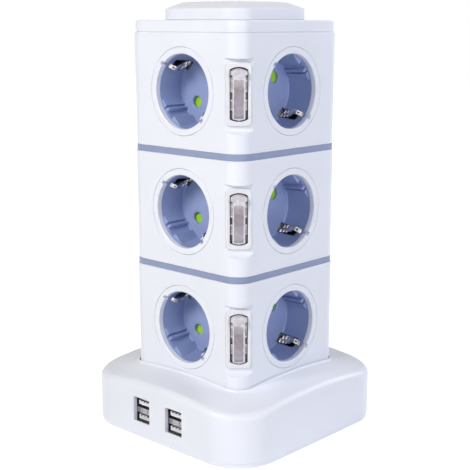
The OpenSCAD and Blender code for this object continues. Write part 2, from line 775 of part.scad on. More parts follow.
// Plastic block between the four inserts of a tier, which carries contacts and shutters
module core(i) {
    foot_cut = clip_t + 2 * slide_gap;
    foot_w = clip_w + 2 * slide_gap;
    pocket_l = 2 * (shutter_half_l + slide_gap);
    pocket_w = shutter_w + shutter_travel + 2 * slide_gap;
    pin_level = pin_up + contact_r / 2;
    color("gainsboro") on_tier(i) difference() {
        translate([-core_u, -core_u, -core_h / 2]) cube([2 * core_u, 2 * core_u, core_h]);
        for (k = [0:3]) {
            on_face(k) rotate([0, 0, pin_tilt]) {
                translate([-pocket_l / 2, -shutter_w / 2 - slide_gap, -floor_back - pocket_d])
                    cube([pocket_l, pocket_w, pocket_d + eps]);
                for (side = [-1, 1]) translate([side * pin_pitch / 2, 0, -contact_top - contact_l - fit])
                    cylinder(r = contact_r + fit, h = contact_l + pocket_d);
                for (turn = [90, 270]) rotate([0, 0, turn])
                    translate([clip_foot_d - slide_gap, -foot_w / 2, -recess_depth - clip_foot_l - fit])
                        cube([foot_cut, foot_w, clip_foot_l]);
            }
            for (up = [0, 180]) rotate([0, 0, 90 * k]) rotate([0, up, 0])
                translate([pin_at - link_t / 2 - fit, -tab_u - tab_l / 2 - fit, pin_level])
                    cube([link_t + 2 * fit, tab_l + 2 * fit, core_h]);
        }
        translate([-shaft_w / 2, -shaft_w / 2, -core_h / 2 - eps]) cube([shaft_w, shaft_w, core_h + 2 * eps]);
    }
}

module contact_sleeve() {
    difference() {
        translate([0, 0, -contact_top - contact_l]) cylinder(r = contact_r, h = contact_l);
        translate([0, 0, -contact_top - contact_l + link_t]) cylinder(r = contact_bore_r, h = contact_l);
        translate([-contact_r, -sleeve_slot_w / 2, -contact_top - contact_l * 0.6])
            cube([contact_r, sleeve_slot_w, contact_l]);
    }
}

module pin_contacts() {
    color("goldenrod") for (i = [0:2]) on_tier(i) for (k = [0:3]) on_face(k)
        for (side = [0, 180]) rotate([0, 0, pin_tilt + side])
            translate([pin_pitch / 2, 0, 0]) rotate([0, 0, -90 - pin_tilt]) contact_sleeve();
}

// A plate on the core's end, with a tab down to each contact sleeve on that level
module contact_link() {
    plate_z = core_h / 2 + fit;
    tab_z = pin_up + contact_r;
    difference() {
        translate([-link_half_w, -link_half_w, plate_z]) cube([2 * link_half_w, 2 * link_half_w, link_t]);
        translate([-shaft_w / 2, -shaft_w / 2, plate_z - eps]) cube([shaft_w, shaft_w, link_t + 2 * eps]);
    }
    for (k = [0:3]) rotate([0, 0, 90 * k])
        translate([pin_at - link_t / 2, -tab_u - tab_l / 2, tab_z])
            cube([link_t, tab_l, plate_z + link_t / 2 - tab_z]);
}

module contact_links() {
    color("peru") for (i = [0:2]) on_tier(i) for (up = [0, 180]) rotate([0, up, 0]) contact_link();
}

base_housing();
base_plate();
rubber_feet();
base_screws();
cable_inlet();
usb_board();
usb_port(-1);  // usb_port_left
usb_port(1);  // usb_port_right
usb_tongues();
trim_ring(0);  // lower_ring
trim_ring(1);  // upper_ring
top_cap();
top_lid();
tie_rods();
supply_bars();
contact_links();
pin_contacts();
for (i = [0:2]) {
    tier_housing(i);
    core(i);
    collars(i);
    earth_clips(i);
    switch_body(i);
    rocker(i);
    for (k = [0:3]) {
        insert(i, k);
        shutter(i, k);
    }
}
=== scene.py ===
import math

import bmesh
import bpy
from mathutils import Matrix, Vector


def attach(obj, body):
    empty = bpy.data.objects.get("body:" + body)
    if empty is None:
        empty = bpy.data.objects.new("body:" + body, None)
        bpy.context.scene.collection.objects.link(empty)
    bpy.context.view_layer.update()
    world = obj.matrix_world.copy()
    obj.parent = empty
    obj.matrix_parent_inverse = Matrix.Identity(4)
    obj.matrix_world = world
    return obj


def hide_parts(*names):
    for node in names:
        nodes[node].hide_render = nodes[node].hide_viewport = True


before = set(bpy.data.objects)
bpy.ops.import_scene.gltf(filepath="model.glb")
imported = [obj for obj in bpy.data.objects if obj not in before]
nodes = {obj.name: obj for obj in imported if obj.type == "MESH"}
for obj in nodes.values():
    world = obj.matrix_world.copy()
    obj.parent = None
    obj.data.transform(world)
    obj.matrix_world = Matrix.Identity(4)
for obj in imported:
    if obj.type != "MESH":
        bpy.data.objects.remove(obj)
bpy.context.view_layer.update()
tierNames = ["lower", "middle", "upper"]
sideNames = ["front", "right", "back", "left"]
print("frame loaded,", len(nodes), "nodes")


# Small tools, with all sizes in millimetres

def newObject(name, verts, faces):
    mesh = bpy.data.meshes.new(name)
    mesh.from_pydata([(x * 0.001, y * 0.001, z * 0.001) for x, y, z in verts], [], faces)
    obj = bpy.data.objects.new(name, mesh)
    bpy.context.scene.collection.objects.link(obj)
    closeShell(obj)
    return obj


def closeShell(obj):
    bm = bmesh.new()
    bm.from_mesh(obj.data)
    bmesh.ops.remove_doubles(bm, verts=bm.verts, dist=0.000002)
    bmesh.ops.recalc_face_normals(bm, faces=bm.faces)
    bm.to_mesh(obj.data)
    bm.free()


def applyModifiers(obj):
    depsgraph = bpy.context.evaluated_depsgraph_get()
    mesh = bpy.data.meshes.new_from_object(obj.evaluated_get(depsgraph), depsgraph=depsgraph)
    obj.modifiers.clear()
    obj.data = mesh


def carve(obj, cutter, operation="DIFFERENCE", place=None):
    if place is not None:
        cutter.data.transform(place)
    cut = obj.modifiers.new("carve", "BOOLEAN")
    cut.operation = operation
    cut.solver = "EXACT"
    cut.object = cutter
    applyModifiers(obj)
    bpy.data.objects.remove(cutter)


def bevelEdges(obj, width, segments=2, angle=35):
    bevel = obj.modifiers.new("edges", "BEVEL")
    bevel.width = width * 0.001
    bevel.segments = segments
    bevel.limit_method = "ANGLE"
    bevel.angle_limit = math.radians(angle)
    bevel.use_clamp_overlap = True
    applyModifiers(obj)


def smoothShade(obj, angle=32):
    closeShell(obj)
    obj.data.shade_smooth()
    obj.data.set_sharp_from_angle(angle=math.radians(angle))
    weighted = obj.modifiers.new("normals", "WEIGHTED_NORMAL")
    weighted.keep_sharp = True
    weighted.weight = 80
    applyModifiers(obj)


def paint(obj, *materials):
    obj.data.materials.clear()
    for material in materials:
        obj.data.materials.append(material)
    if len(materials) == 1:
        for face in obj.data.polygons:
            face.material_index = 0


def settle(obj, replaced, body="frame"):
    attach(obj, body)
    if replaced:
        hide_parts(*replaced)


def dress(obj, material, replaced, angle=32):
    paint(obj, material)
    smoothShade(obj, angle)
    settle(obj, replaced)


def moved(x, y, z):
    return Matrix.Translation((x * 0.001, y * 0.001, z * 0.001))


def turned(angle, axis="Z"):
    return Matrix.Rotation(math.radians(angle), 4, axis)


def ringAt(outline, z):
    return [(x, y, z(x, y) if callable(z) else z) for x, y in outline]


def loft(name, rings, loop=False):
    verts = [point for ring in rings for point in ring]
    count = len(rings[0])
    faces = []
    for level in range(len(rings) if loop else len(rings) - 1):
        low, high = level * count, (level + 1) % len(rings) * count
        for step in range(count):
            after = (step + 1) % count
            faces.append((low + step, low + after, high + after, high + step))
    if not loop:
        faces.append(tuple(reversed(range(count))))
        faces.append(tuple(range((len(rings) - 1) * count, len(rings) * count)))
    return newObject(name, verts, faces)


def lathe(name, profile, steps, loop=False):
    count = len(profile)
    verts = []
    for step in range(steps):
        turn = 2 * math.pi * step / steps
        verts += [(r * math.cos(turn), r * math.sin(turn), z) for r, z in profile]
    faces = []
    for step in range(steps):
        here, there = step * count, (step + 1) % steps * count
        for j in range(count if loop else count - 1):
            k = (j + 1) % count
            faces.append((here + j, there + j, there + k, here + k))
    return newObject(name, verts, faces)


def block(name, x0, x1, y0, y1, z0, z1):
    verts = [(x, y, z) for x in (x0, x1) for y in (y0, y1) for z in (z0, z1)]
    faces = [(0, 1, 3, 2), (4, 6, 7, 5), (0, 4, 5, 1), (2, 3, 7, 6), (0, 2, 6, 4), (1, 5, 7, 3)]
    return newObject(name, verts, faces)


def arc(x, z, radius, start, end, steps):
    turns = [math.radians(start + (end - start) * step / steps) for step in range(steps + 1)]
    return [(x + radius * math.cos(turn), z + radius * math.sin(turn)) for turn in turns]


def roundedSquare(width, radius, height=None, arcSteps=12, sideSteps=14):
    wide, tall, arcs = width / 2 - radius, (height or width) / 2 - radius, []
    for corner, (x, y) in enumerate([(wide, tall), (-wide, tall), (-wide, -tall), (wide, -tall)]):
        arcs.append(arc(x, y, radius, 90 * corner, 90 * corner + 90, arcSteps))
    shares = [step / sideSteps for step in range(1, sideSteps)]
    points = []
    for bend, after in zip(arcs, arcs[1:] + arcs[:1]):
        (x0, y0), (x1, y1) = bend[-1], after[0]
        points += bend + [(x0 + (x1 - x0) * share, y0 + (y1 - y0) * share) for share in shares]
    return points


def quarter(steps, first=0):  # how far in and how far down a rounded edge runs
    turns = [math.radians(90 * step / steps) for step in range(first, steps + 1)]
    return [(1 - math.cos(turn), 1 - math.sin(turn)) for turn in turns]


# The tower's main sizes and where things sit on it

tower = {
    "width": 84.5, "cornerRadius": 10.0, "wall": 2.2, "seat": 32.2, "tierHeight": 61.5,
    "pitch": 65.0, "draft": 0.37, "cornerCut": 3.3, "flatHeight": 37.4,
}
towerHalf = tower["width"] / 2
cornerReach = (towerHalf - tower["cornerRadius"]) * math.sqrt(2) + tower["cornerRadius"]
flatDistance = cornerReach - tower["cornerCut"]
firstMiddle = tower["seat"] + tower["tierHeight"] / 2


def tierMiddle(level):
    return firstMiddle + level * tower["pitch"]


def towerOutline(inset):
    radius = max(tower["cornerRadius"] - inset, 3)
    return roundedSquare(tower["width"] - 2 * inset, radius, arcSteps=16)


def sidePlace(side):  # X right, Y up, Z out of that side
    turn = Matrix.Rotation(side * math.pi / 2, 4, "Z")
    return turn @ moved(0, -towerHalf, 0) @ turned(90, "X")


def cornerPlace(z=0.0):  # the same on the switches' flat
    return turned(45) @ moved(0, -flatDistance, z) @ turned(90, "X")


def leanIn(obj):  # each tier is a little wider at its top, as moulded
    for vert in obj.data.vertices:
        z = vert.co.z * 1000
        level = min(max(round((z - firstMiddle) / tower["pitch"]), 0), 2)
        top = tierMiddle(level) + tower["tierHeight"] / 2
        below = min(max(top - z, 0), tower["tierHeight"])
        share = 1 - tower["draft"] * below / tower["tierHeight"] / towerHalf
        vert.co.x *= share
        vert.co.y *= share


# Finishes

plainLook = {
    "spread": 0.05, "fine": 1200, "bump": 0.05, "metal": 0, "specular": 0.5, "coat": 0, "coatRough": 0.1,
}


def makeFinish(name, own):  # a cloudy tint and gloss, with a fine grain
    look = {**plainLook, **own}
    material = bpy.data.materials.new(name)
    material.use_nodes = True
    tree = material.node_tree
    add, link = tree.nodes.new, tree.links.new
    shader, place = tree.nodes["Principled BSDF"], add("ShaderNodeTexCoord")
    cloud, grain = add("ShaderNodeTexNoise"), add("ShaderNodeTexNoise")
    cloud.inputs["Scale"].default_value = look["cloud"]
    cloud.inputs["Detail"].default_value = 3
    grain.inputs["Scale"].default_value = look["fine"]
    grain.inputs["Detail"].default_value = 4
    tint, gloss, bump = add("ShaderNodeValToRGB"), add("ShaderNodeMapRange"), add("ShaderNodeBump")
    for element, position, shade in zip(tint.color_ramp.elements, (0.3, 0.72), look["shades"]):
        element.position = position
        element.color = (*shade, 1)
    gloss.inputs["To Min"].default_value = look["rough"] - look["spread"]
    gloss.inputs["To Max"].default_value = look["rough"] + look["spread"]
    bump.inputs["Strength"].default_value = look["bump"]
    bump.inputs["Distance"].default_value = 0.0001
    link(place.outputs["Object"], cloud.inputs["Vector"])
    link(place.outputs["Object"], grain.inputs["Vector"])
    link(cloud.outputs["Fac"], tint.inputs["Fac"])
    link(cloud.outputs["Fac"], gloss.inputs["Value"])
    link(grain.outputs["Fac"], bump.inputs["Height"])
    link(tint.outputs["Color"], shader.inputs["Base Color"])
    link(gloss.outputs["Result"], shader.inputs["Roughness"])
    link(bump.outputs["Normal"], shader.inputs["Normal"])
    shader.inputs["Metallic"].default_value = look["metal"]
    shader.inputs["Specular IOR Level"].default_value = look["specular"]
    shader.inputs["Coat Weight"].default_value = look["coat"]
    shader.inputs["Coat Roughness"].default_value = look["coatRough"]
    return material


whitePlastic = makeFinish("whitePlastic", {
    "shades": ((0.79, 0.815, 0.895), (0.825, 0.85, 0.925)),
    "cloud": 22, "rough": 0.36, "spread": 0.04, "fine": 900})
collarPlastic = makeFinish("collarPlastic", {
    "shades": ((0.79, 0.815, 0.895), (0.825, 0.85, 0.925)),
    "cloud": 30, "rough": 0.3, "spread": 0.04, "fine": 1100, "bump": 0.04})
bluePlastic = makeFinish("bluePlastic", {
    "shades": ((0.27, 0.338, 0.575), (0.314, 0.384, 0.63)),
    "cloud": 60, "rough": 0.38, "spread": 0.06, "fine": 1300, "bump": 0.08})
ringPlastic = makeFinish("ringPlastic", {
    "shades": ((0.255, 0.308, 0.475), (0.29, 0.345, 0.52)),
    "cloud": 40, "rough": 0.34, "fine": 1300, "bump": 0.06, "specular": 0.3})
greenPlastic = makeFinish("greenPlastic", {
    "shades": ((0.32, 0.62, 0.03), (0.42, 0.75, 0.05)),
    "cloud": 150, "rough": 0.35, "fine": 1500, "bump": 0.06})
rockerMilk = makeFinish("rockerMilk", {
    "shades": ((0.51, 0.48, 0.53), (0.74, 0.71, 0.76)),
    "cloud": 420, "rough": 0.18, "spread": 0.06, "fine": 1600, "bump": 0.12, "coat": 0.5})
# grey and near-black paint for the shade on the rocker's sunken flanks
flankPaintedShade = makeFinish("flankPaintedShade", {
    "shades": ((0.22, 0.21, 0.22), (0.50, 0.48, 0.49)),
    "cloud": 330, "rough": 0.22, "spread": 0.06, "fine": 1600, "bump": 0.12, "coat": 0.4})
flankDeepPaintedShade = makeFinish("flankDeepPaintedShade", {
    "shades": ((0.02, 0.018, 0.02), (0.11, 0.10, 0.105)),
    "cloud": 330, "rough": 0.22, "spread": 0.06, "fine": 1600, "bump": 0.12, "coat": 0.4})
rockerWindow = makeFinish("rockerWindow", {
    "shades": ((0.74, 0.73, 0.74), (1.0, 1.0, 1.0)),
    "cloud": 420, "rough": 0.14, "fine": 1700, "bump": 0.15, "coat": 0.7})
bezelPlastic = makeFinish("bezelPlastic", {
    "shades": ((0.735, 0.745, 0.79), (0.775, 0.78, 0.825)),
    "cloud": 80, "rough": 0.25, "spread": 0.04, "bump": 0.04})
# near-black paint for the shade deep in the switch openings and the USB ports
cavityPaintedShade = makeFinish("cavityPaintedShade", {
    "shades": ((0.02, 0.02, 0.022), (0.04, 0.038, 0.042)), "cloud": 200, "rough": 0.5})
tonguePlastic = makeFinish("tonguePlastic", {
    "shades": ((0.78, 0.76, 0.77), (0.87, 0.85, 0.87)), "cloud": 300, "rough": 0.35, "fine": 1400})
corePlastic = makeFinish("corePlastic", {
    "shades": ((0.52, 0.52, 0.50), (0.60, 0.60, 0.58)),
    "cloud": 60, "rough": 0.5, "fine": 900, "bump": 0.1})
portSteel = makeFinish("portSteel", {
    "shades": ((0.26, 0.25, 0.27), (0.42, 0.41, 0.43)),
    "cloud": 350, "rough": 0.3, "spread": 0.1, "fine": 2400, "bump": 0.12, "metal": 1})
clipSteel = makeFinish("clipSteel", {
    "shades": ((0.30, 0.28, 0.28), (0.93, 0.90, 0.89)),
    "cloud": 300, "rough": 0.2, "spread": 0.08, "fine": 2400, "bump": 0.1, "metal": 1})
screwSteel = makeFinish("screwSteel", {
    "shades": ((0.42, 0.42, 0.43), (0.6, 0.6, 0.6)),
    "cloud": 300, "rough": 0.32, "spread": 0.08, "fine": 2000, "bump": 0.15, "metal": 1})
contactBrass = makeFinish("contactBrass", {
    "shades": ((0.55, 0.38, 0.16), (0.74, 0.55, 0.27)),
    "cloud": 200, "rough": 0.28, "spread": 0.08, "fine": 2000, "bump": 0.1, "metal": 1})
boardGreen = makeFinish("boardGreen", {
    "shades": ((0.015, 0.11, 0.045), (0.03, 0.19, 0.08)),
    "cloud": 220, "rough": 0.35, "spread": 0.1, "fine": 900, "bump": 0.2})
padRubber = makeFinish("padRubber", {
    "shades": ((0.045, 0.045, 0.048), (0.075, 0.075, 0.08)),
    "cloud": 120, "rough": 0.75, "spread": 0.08, "bump": 0.4})

windowShades = [
    (0.0, (0.24, 0.22, 0.27)), (0.08, (0.37, 0.34, 0.40)), (0.25, (0.37, 0.33, 0.39)),
    (0.5, (0.29, 0.26, 0.31)), (0.72, (0.31, 0.24, 0.27)), (0.87, (0.39, 0.36, 0.37)),
    (1.0, (0.52, 0.49, 0.53)),
]


def shadeWindow(middle, half):  # pale at both ends and darker between, on each tier alike
    tree = rockerWindow.node_tree
    add, link = tree.nodes.new, tree.links.new
    tint = next(node for node in tree.nodes if node.type == "VALTORGB")
    place = next(node for node in tree.nodes if node.type == "TEX_COORD")
    parts, level = add("ShaderNodeSeparateXYZ"), add("ShaderNodeMapRange")
    lift, turn = add("ShaderNodeMath"), add("ShaderNodeMath")
    lift.operation, turn.operation = "SUBTRACT", "FLOORED_MODULO"
    lift.inputs[1].default_value = (middle - half) * 0.001
    turn.inputs[1].default_value = tower["pitch"] * 0.001
    level.inputs["From Max"].default_value = 2 * half * 0.001
    shades, both = add("ShaderNodeValToRGB"), add("ShaderNodeMix")
    ramp = shades.color_ramp
    while len(ramp.elements) < len(windowShades):
        ramp.elements.new(0.5)
    for element, (position, shade) in zip(ramp.elements, windowShades):
        element.position = position
        element.color = (*shade, 1)
    both.data_type, both.blend_type = "RGBA", "MULTIPLY"
    both.inputs[0].default_value = 1
    link(place.outputs["Object"], parts.inputs["Vector"])
    link(parts.outputs["Z"], lift.inputs[0])
    link(lift.outputs["Value"], turn.inputs[0])
    link(turn.outputs["Value"], level.inputs["Value"])
    link(level.outputs["Result"], shades.inputs["Fac"])
    link(tint.outputs["Color"], both.inputs[6])
    link(shades.outputs["Color"], both.inputs[7])
    link(both.outputs[2], tree.nodes["Principled BSDF"].inputs["Base Color"])


print("finishes made")


# One geometry nodes tree repeats a piece round the sides and up the tiers

def makeStackTree():
    tree = bpy.data.node_groups.new("repeatAroundAndUp", "GeometryNodeTree")
    ports = tree.interface
    ports.new_socket("Geometry", in_out="OUTPUT", socket_type="NodeSocketGeometry")
    for name, kind in (("Piece", "Object"), ("Around", "Int"), ("Turn", "Float"), ("Levels", "Int"),
                       ("Step", "Vector"), ("Start", "Vector"), ("Finish", "Material")):
        ports.new_socket(name, in_out="INPUT", socket_type="NodeSocket" + kind)
    add, link = tree.nodes.new, tree.links.new
    given, result = add("NodeGroupInput"), add("NodeGroupOutput")
    piece = add("GeometryNodeObjectInfo")
    link(given.outputs["Piece"], piece.inputs["Object"])
    around = add("GeometryNodeMeshLine")
    around.inputs["Offset"].default_value = (0, 0, 0)
    link(given.outputs["Around"], around.inputs["Count"])
    index, angle = add("GeometryNodeInputIndex"), add("ShaderNodeMath")
    angle.operation = "MULTIPLY"
    link(index.outputs["Index"], angle.inputs[0])
    link(given.outputs["Turn"], angle.inputs[1])
    rotation = add("FunctionNodeAxisAngleToRotation")
    rotation.inputs["Axis"].default_value = (0, 0, 1)
    link(angle.outputs["Value"], rotation.inputs["Angle"])
    ring = add("GeometryNodeInstanceOnPoints")
    link(around.outputs["Mesh"], ring.inputs["Points"])
    link(piece.outputs["Geometry"], ring.inputs["Instance"])
    link(rotation.outputs["Rotation"], ring.inputs["Rotation"])
    levels = add("GeometryNodeMeshLine")
    link(given.outputs["Levels"], levels.inputs["Count"])
    link(given.outputs["Start"], levels.inputs["Start Location"])
    link(given.outputs["Step"], levels.inputs["Offset"])
    stack = add("GeometryNodeInstanceOnPoints")
    link(levels.outputs["Mesh"], stack.inputs["Points"])
    link(ring.outputs["Instances"], stack.inputs["Instance"])
    real, coat = add("GeometryNodeRealizeInstances"), add("GeometryNodeSetMaterial")
    link(stack.outputs["Instances"], real.inputs["Geometry"])
    link(real.outputs["Geometry"], coat.inputs["Geometry"])
    link(given.outputs["Finish"], coat.inputs["Material"])
    link(coat.outputs["Geometry"], result.inputs["Geometry"])
    return tree


stackTree = makeStackTree()


def repeatPiece(name, piece, material, around=1, levels=1, step=(0, 0, 0), start=(0, 0, 0)):
    host = newObject(name, [], [])
    repeat = host.modifiers.new("repeat", "NODES")
    repeat.node_group = stackTree
    values = {
        "Piece": piece, "Around": around, "Turn": 2 * math.pi / max(around, 1), "Levels": levels,
        "Step": [v * 0.001 for v in step], "Start": [v * 0.001 for v in start], "Finish": material,
    }
    for port in stackTree.interface.items_tree:
        if port.in_out == "INPUT":
            repeat[port.identifier] = values[port.name]
    applyModifiers(host)
    bpy.data.objects.remove(piece)
    return host


def allSockets(name, piece, material):
    return repeatPiece(name, piece, material, around=4, levels=3, step=(0, 0, tower["pitch"]),
                       start=(0, 0, firstMiddle))


# Base

base = {
    "width": 125.5, "cornerRadius": 25.0, "domeRadius": 340.0, "crown": 39.0, "bottom": 3.2,
    "lowEdge": 0.35, "sideTop": 18.0, "topRound": 3.2, "cove": 1.3, "pocket": 84.8,
    "usbPitch": 25.4, "usbHeight": 17.0,
    "windowWidth": 12.9, "windowHeight": 13.9, "jambSlope": 0.4,
    "inletHeight": 15.0, "inletFlange": 8.1, "inletBody": 6.1, "inletPlace": 65.6,
    "hollow": ((40, 4, 31.4), (40, 4, 29.4), (90, 12, 28.8), (117, 21, 26.5), (120.7, 22.6, 23.5)),
}


def domeHeight(x, y):
    return base["crown"] - base["domeRadius"] + math.sqrt(base["domeRadius"] ** 2 - x * x - y * y)


def baseSquare(width, radius):
    return roundedSquare(width, radius, arcSteps=20, sideSteps=24)


def baseOutline(inset):
    reach = (base["width"] - tower["width"]) / 2
    radius = base["cornerRadius"] + (tower["cornerRadius"] - base["cornerRadius"]) * inset / reach
    return baseSquare(base["width"] - 2 * inset, radius)


def makeBase():
    low, edge, bend, cove = base["bottom"], base["lowEdge"], base["topRound"], base["cove"]
    reach = (base["width"] - base["pocket"]) / 2
    rings = [ringAt(baseOutline(edge), low), ringAt(baseOutline(0), low + edge),
             ringAt(baseOutline(0), base["sideTop"])]
    for inward, down in quarter(8):
        rings.append(ringAt(baseOutline(bend * inward), lambda x, y: domeHeight(x, y) - bend * down))
    for share in (0.2, 0.4, 0.6, 0.75, 0.85):
        rings.append(ringAt(baseOutline(bend + (reach - cove - bend) * share), domeHeight))
    for step in range(6):
        inset = reach - cove * (1 - step / 5)
        rise = cove - math.sqrt(cove ** 2 - (cove - (reach - inset)) ** 2)
        rings.append(ringAt(baseOutline(inset), lambda x, y: domeHeight(x, y) + rise * 0.8))
    rings.append(ringAt(baseOutline(reach), tower["seat"] - 0.6))
    for width, radius, z in base["hollow"]:
        rings.append(ringAt(baseSquare(width, radius), z))
    rings.append(ringAt(baseSquare(width, radius), low))
    housing = loft("baseHousing", rings, loop=True)
    for side in (-1, 1):
        x, z = side * base["usbPitch"] / 2, base["usbHeight"]
        w, h = base["windowWidth"] / 2, base["windowHeight"] / 2
        window = block("window", x - w, x + w, -70, -58, z - h, z + h)
        for vert in window.data.vertices:  # the lower jamb falls away inward
            if vert.co.z * 1000 < z:
                vert.co.z -= (vert.co.y + base["width"] / 2000) * base["jambSlope"]
        bevelEdges(window, 0.5, 3, 60)
        carve(housing, window)
    wide, body = base["inletFlange"], base["inletBody"]
    inlet = lathe("inletCut", [(0, 0), (wide, 0), (wide, 4), (body, 4), (body, 12), (0, 12)], 64)
    carve(housing, inlet, place=moved(0, base["inletPlace"], base["inletHeight"]) @ turned(90, "X"))
    dress(housing, whitePlastic, ["base_housing"])


makeBase()


def softenNode(name, node, width, material, segments=2):
    copy = nodes[node].copy()
    copy.data = nodes[node].data.copy()
    copy.name = name
    for key in list(copy.keys()):
        del copy[key]
    copy.parent = None
    bpy.context.scene.collection.objects.link(copy)
    bm = bmesh.new()
    bm.from_mesh(copy.data)
    bmesh.ops.remove_doubles(bm, verts=bm.verts, dist=0.000002)
    bmesh.ops.dissolve_limit(bm, angle_limit=math.radians(1), verts=bm.verts, edges=bm.edges)
    bm.to_mesh(copy.data)
    bm.free()
    bevelEdges(copy, width, segments)
    dress(copy, material, [node])


softenNode("bottomPlate", "base_plate", 0.35, whitePlastic)
softenNode("feet", "rubber_feet", 0.3, padRubber)
softenNode("inletBush", "cable_inlet", 0.5, whitePlastic, 3)
print("base made")

# Tiers, rings, cap and lid

tier = {
    "edge": 0.45, "mouth": 23.7, "mouthRound": 0.3, "switchWidth": 11.9, "switchHeight": 30.4,
    "flatWall": 2.4, "flatBlend": 1.1, "sillSlope": 0.55, "browSag": 0.8, "browGroove": 0.3,
    "browBand": 1.0, "clear": 12,
}
flatHalfWidth = math.sqrt(tower["cornerRadius"] ** 2 - (tower["cornerRadius"] - tower["cornerCut"]) ** 2)


def flatOutline(sill, brow):  # the upper end hangs lower in the middle
    reach, top = 14.0, tower["flatHeight"] / 2 + brow
    low, sag = -tower["flatHeight"] / 2 - sill, tier["browSag"] / flatHalfWidth ** 2
    across = [reach - k for k in range(int(2 * reach) + 1)]
    return [(-reach, low), (reach, low)] + [(x, top - tier["browSag"] + sag * x * x) for x in across]


def blendFlat(shell):  # soft edges beside the switches' flat
    bm = bmesh.new()
    bm.from_mesh(shell.data)
    chosen = []
    for edge in bm.edges:
        onFlat = True
        for vert in edge.verts:
            across = (vert.co.x + vert.co.y) / math.sqrt(2)
            out = (vert.co.x - vert.co.y) / math.sqrt(2)
            atSide = abs(abs(across) * 1000 - flatHalfWidth) < 0.3
            onFlat = onFlat and atSide and abs(out * 1000 - flatDistance) < 0.1
        if onFlat and abs(edge.verts[0].co.z - edge.verts[1].co.z) > 0.001:
            chosen.append(edge)
    bmesh.ops.bevel(bm, geom=chosen, offset=tier["flatBlend"] * 0.001, offset_type="OFFSET",
                    segments=4, profile=0.5, affect="EDGES", clamp_overlap=True)
    bm.to_mesh(shell.data)
    bm.free()


def makeTier(level):
    half, edge = tower["tierHeight"] / 2, tier["edge"]
    rings = [ringAt(towerOutline(edge * down), -half + edge * inward) for inward, down in quarter(4)]
    rings += [ringAt(towerOutline(edge * inward), half - edge * down) for inward, down in quarter(4)]
    shell = loft(tierNames[level] + "Tier", rings)
    inside = loft("inside", [ringAt(towerOutline(tower["wall"]), z) for z in (-half - 1, half + 1)])
    padHalf, clear = tower["flatHeight"] / 2 + tier["flatWall"], tier["clear"]
    pad = block("pad", -15, 15, -padHalf, padHalf, -tier["flatWall"], clear)
    carve(inside, pad, place=cornerPlace())
    carve(shell, inside)
    flat = loft("flat", [ringAt(flatOutline(tier["sillSlope"] * z, 0), z) for z in (0, clear)])
    carve(shell, flat, place=cornerPlace())
    blendFlat(shell)
    band = flatOutline(tier["browBand"] - tower["flatHeight"], 0.1)
    brow = loft("brow", [ringAt(band, z) for z in (-tier["browGroove"], clear)])
    carve(shell, brow, place=cornerPlace())
    wide, tall = tier["switchWidth"] / 2, tier["switchHeight"] / 2
    carve(shell, block("slot", -wide, wide, -tall, tall, -6, 4), place=cornerPlace())
    mouth, edge = tier["mouth"], tier["mouthRound"]
    profile = [(0, -6), (mouth, -6)] + arc(mouth + edge, -edge, edge, 180, 90, 3)
    for side in range(4):
        carve(shell, lathe("mouth", profile + [(mouth + edge, 3), (0, 3)], 128), place=sidePlace(side))
    shell.data.transform(moved(0, 0, tierMiddle(level)))
    leanIn(shell)
    dress(shell, whitePlastic, [tierNames[level] + "_tier"])


for level in range(3):
    makeTier(level)

trim = {"inset": 0.4, "height": 3.5, "lip": 3.0, "lipInset": 2.35, "wall": 4.15, "edge": 0.25}


def makeTrimRing(level):
    low = tower["seat"] + level * tower["pitch"] + tower["tierHeight"]
    high = low + trim["height"]
    out, edge, lip = trim["inset"], trim["edge"], trim["lipInset"]
    lipLow, lipHigh, wall = low - trim["lip"], high + trim["lip"], trim["wall"]
    section = [(out + edge, low), (out, low + edge), (out, high - edge), (out + edge, high), (lip, high),
               (lip, lipHigh), (wall, lipHigh), (wall, lipLow), (lip, lipLow), (lip, low)]
    rings = [ringAt(towerOutline(inset), z) for inset, z in section]
    place = ["lower", "upper"][level]
    ring = loft(place + "Ring", rings, loop=True)
    dress(ring, ringPlastic, [place + "_ring"])


makeTrimRing(0)
makeTrimRing(1)

cap = {
    "bottom": 223.7, "height": 6.8, "gap": 0.5, "gapDepth": 1.0, "inset": 0.6, "lowEdge": 0.3,
    "topEdge": 0.8, "lidSeat": ((64.2, 14.5, 0), (63.6, 14.2, 0.35), (40, 8, 0.35)),
}
lid = {
    "width": 62.7, "cornerRadius": 14.0, "sideHeight": 6.4, "slopeHeight": 3.0, "slopeWidth": 8.0,
    "rise": 0.6, "foot": 0.4, "edge": 0.7,
}


def makeCap():
    low, top, edge = cap["bottom"], cap["bottom"] + cap["height"], cap["topEdge"]
    deep, inset, gapTop = cap["gapDepth"], cap["inset"], cap["bottom"] + cap["gap"]
    section = [(0.9 + deep, low - 1.5), (deep, low), (deep, gapTop)]
    section += [(inset + cap["lowEdge"], gapTop), (inset, gapTop + cap["lowEdge"])]
    section += [(inset + edge - x, z + top - edge) for x, z in arc(0, 0, edge, 0, 90, 4)]
    rings = [ringAt(towerOutline(inset), z) for inset, z in section]
    for width, radius, sunk in cap["lidSeat"]:
        rings.append(ringAt(roundedSquare(width, radius, arcSteps=16), top - sunk))
    dress(loft("topCap", rings), whitePlastic, ["top_cap"])


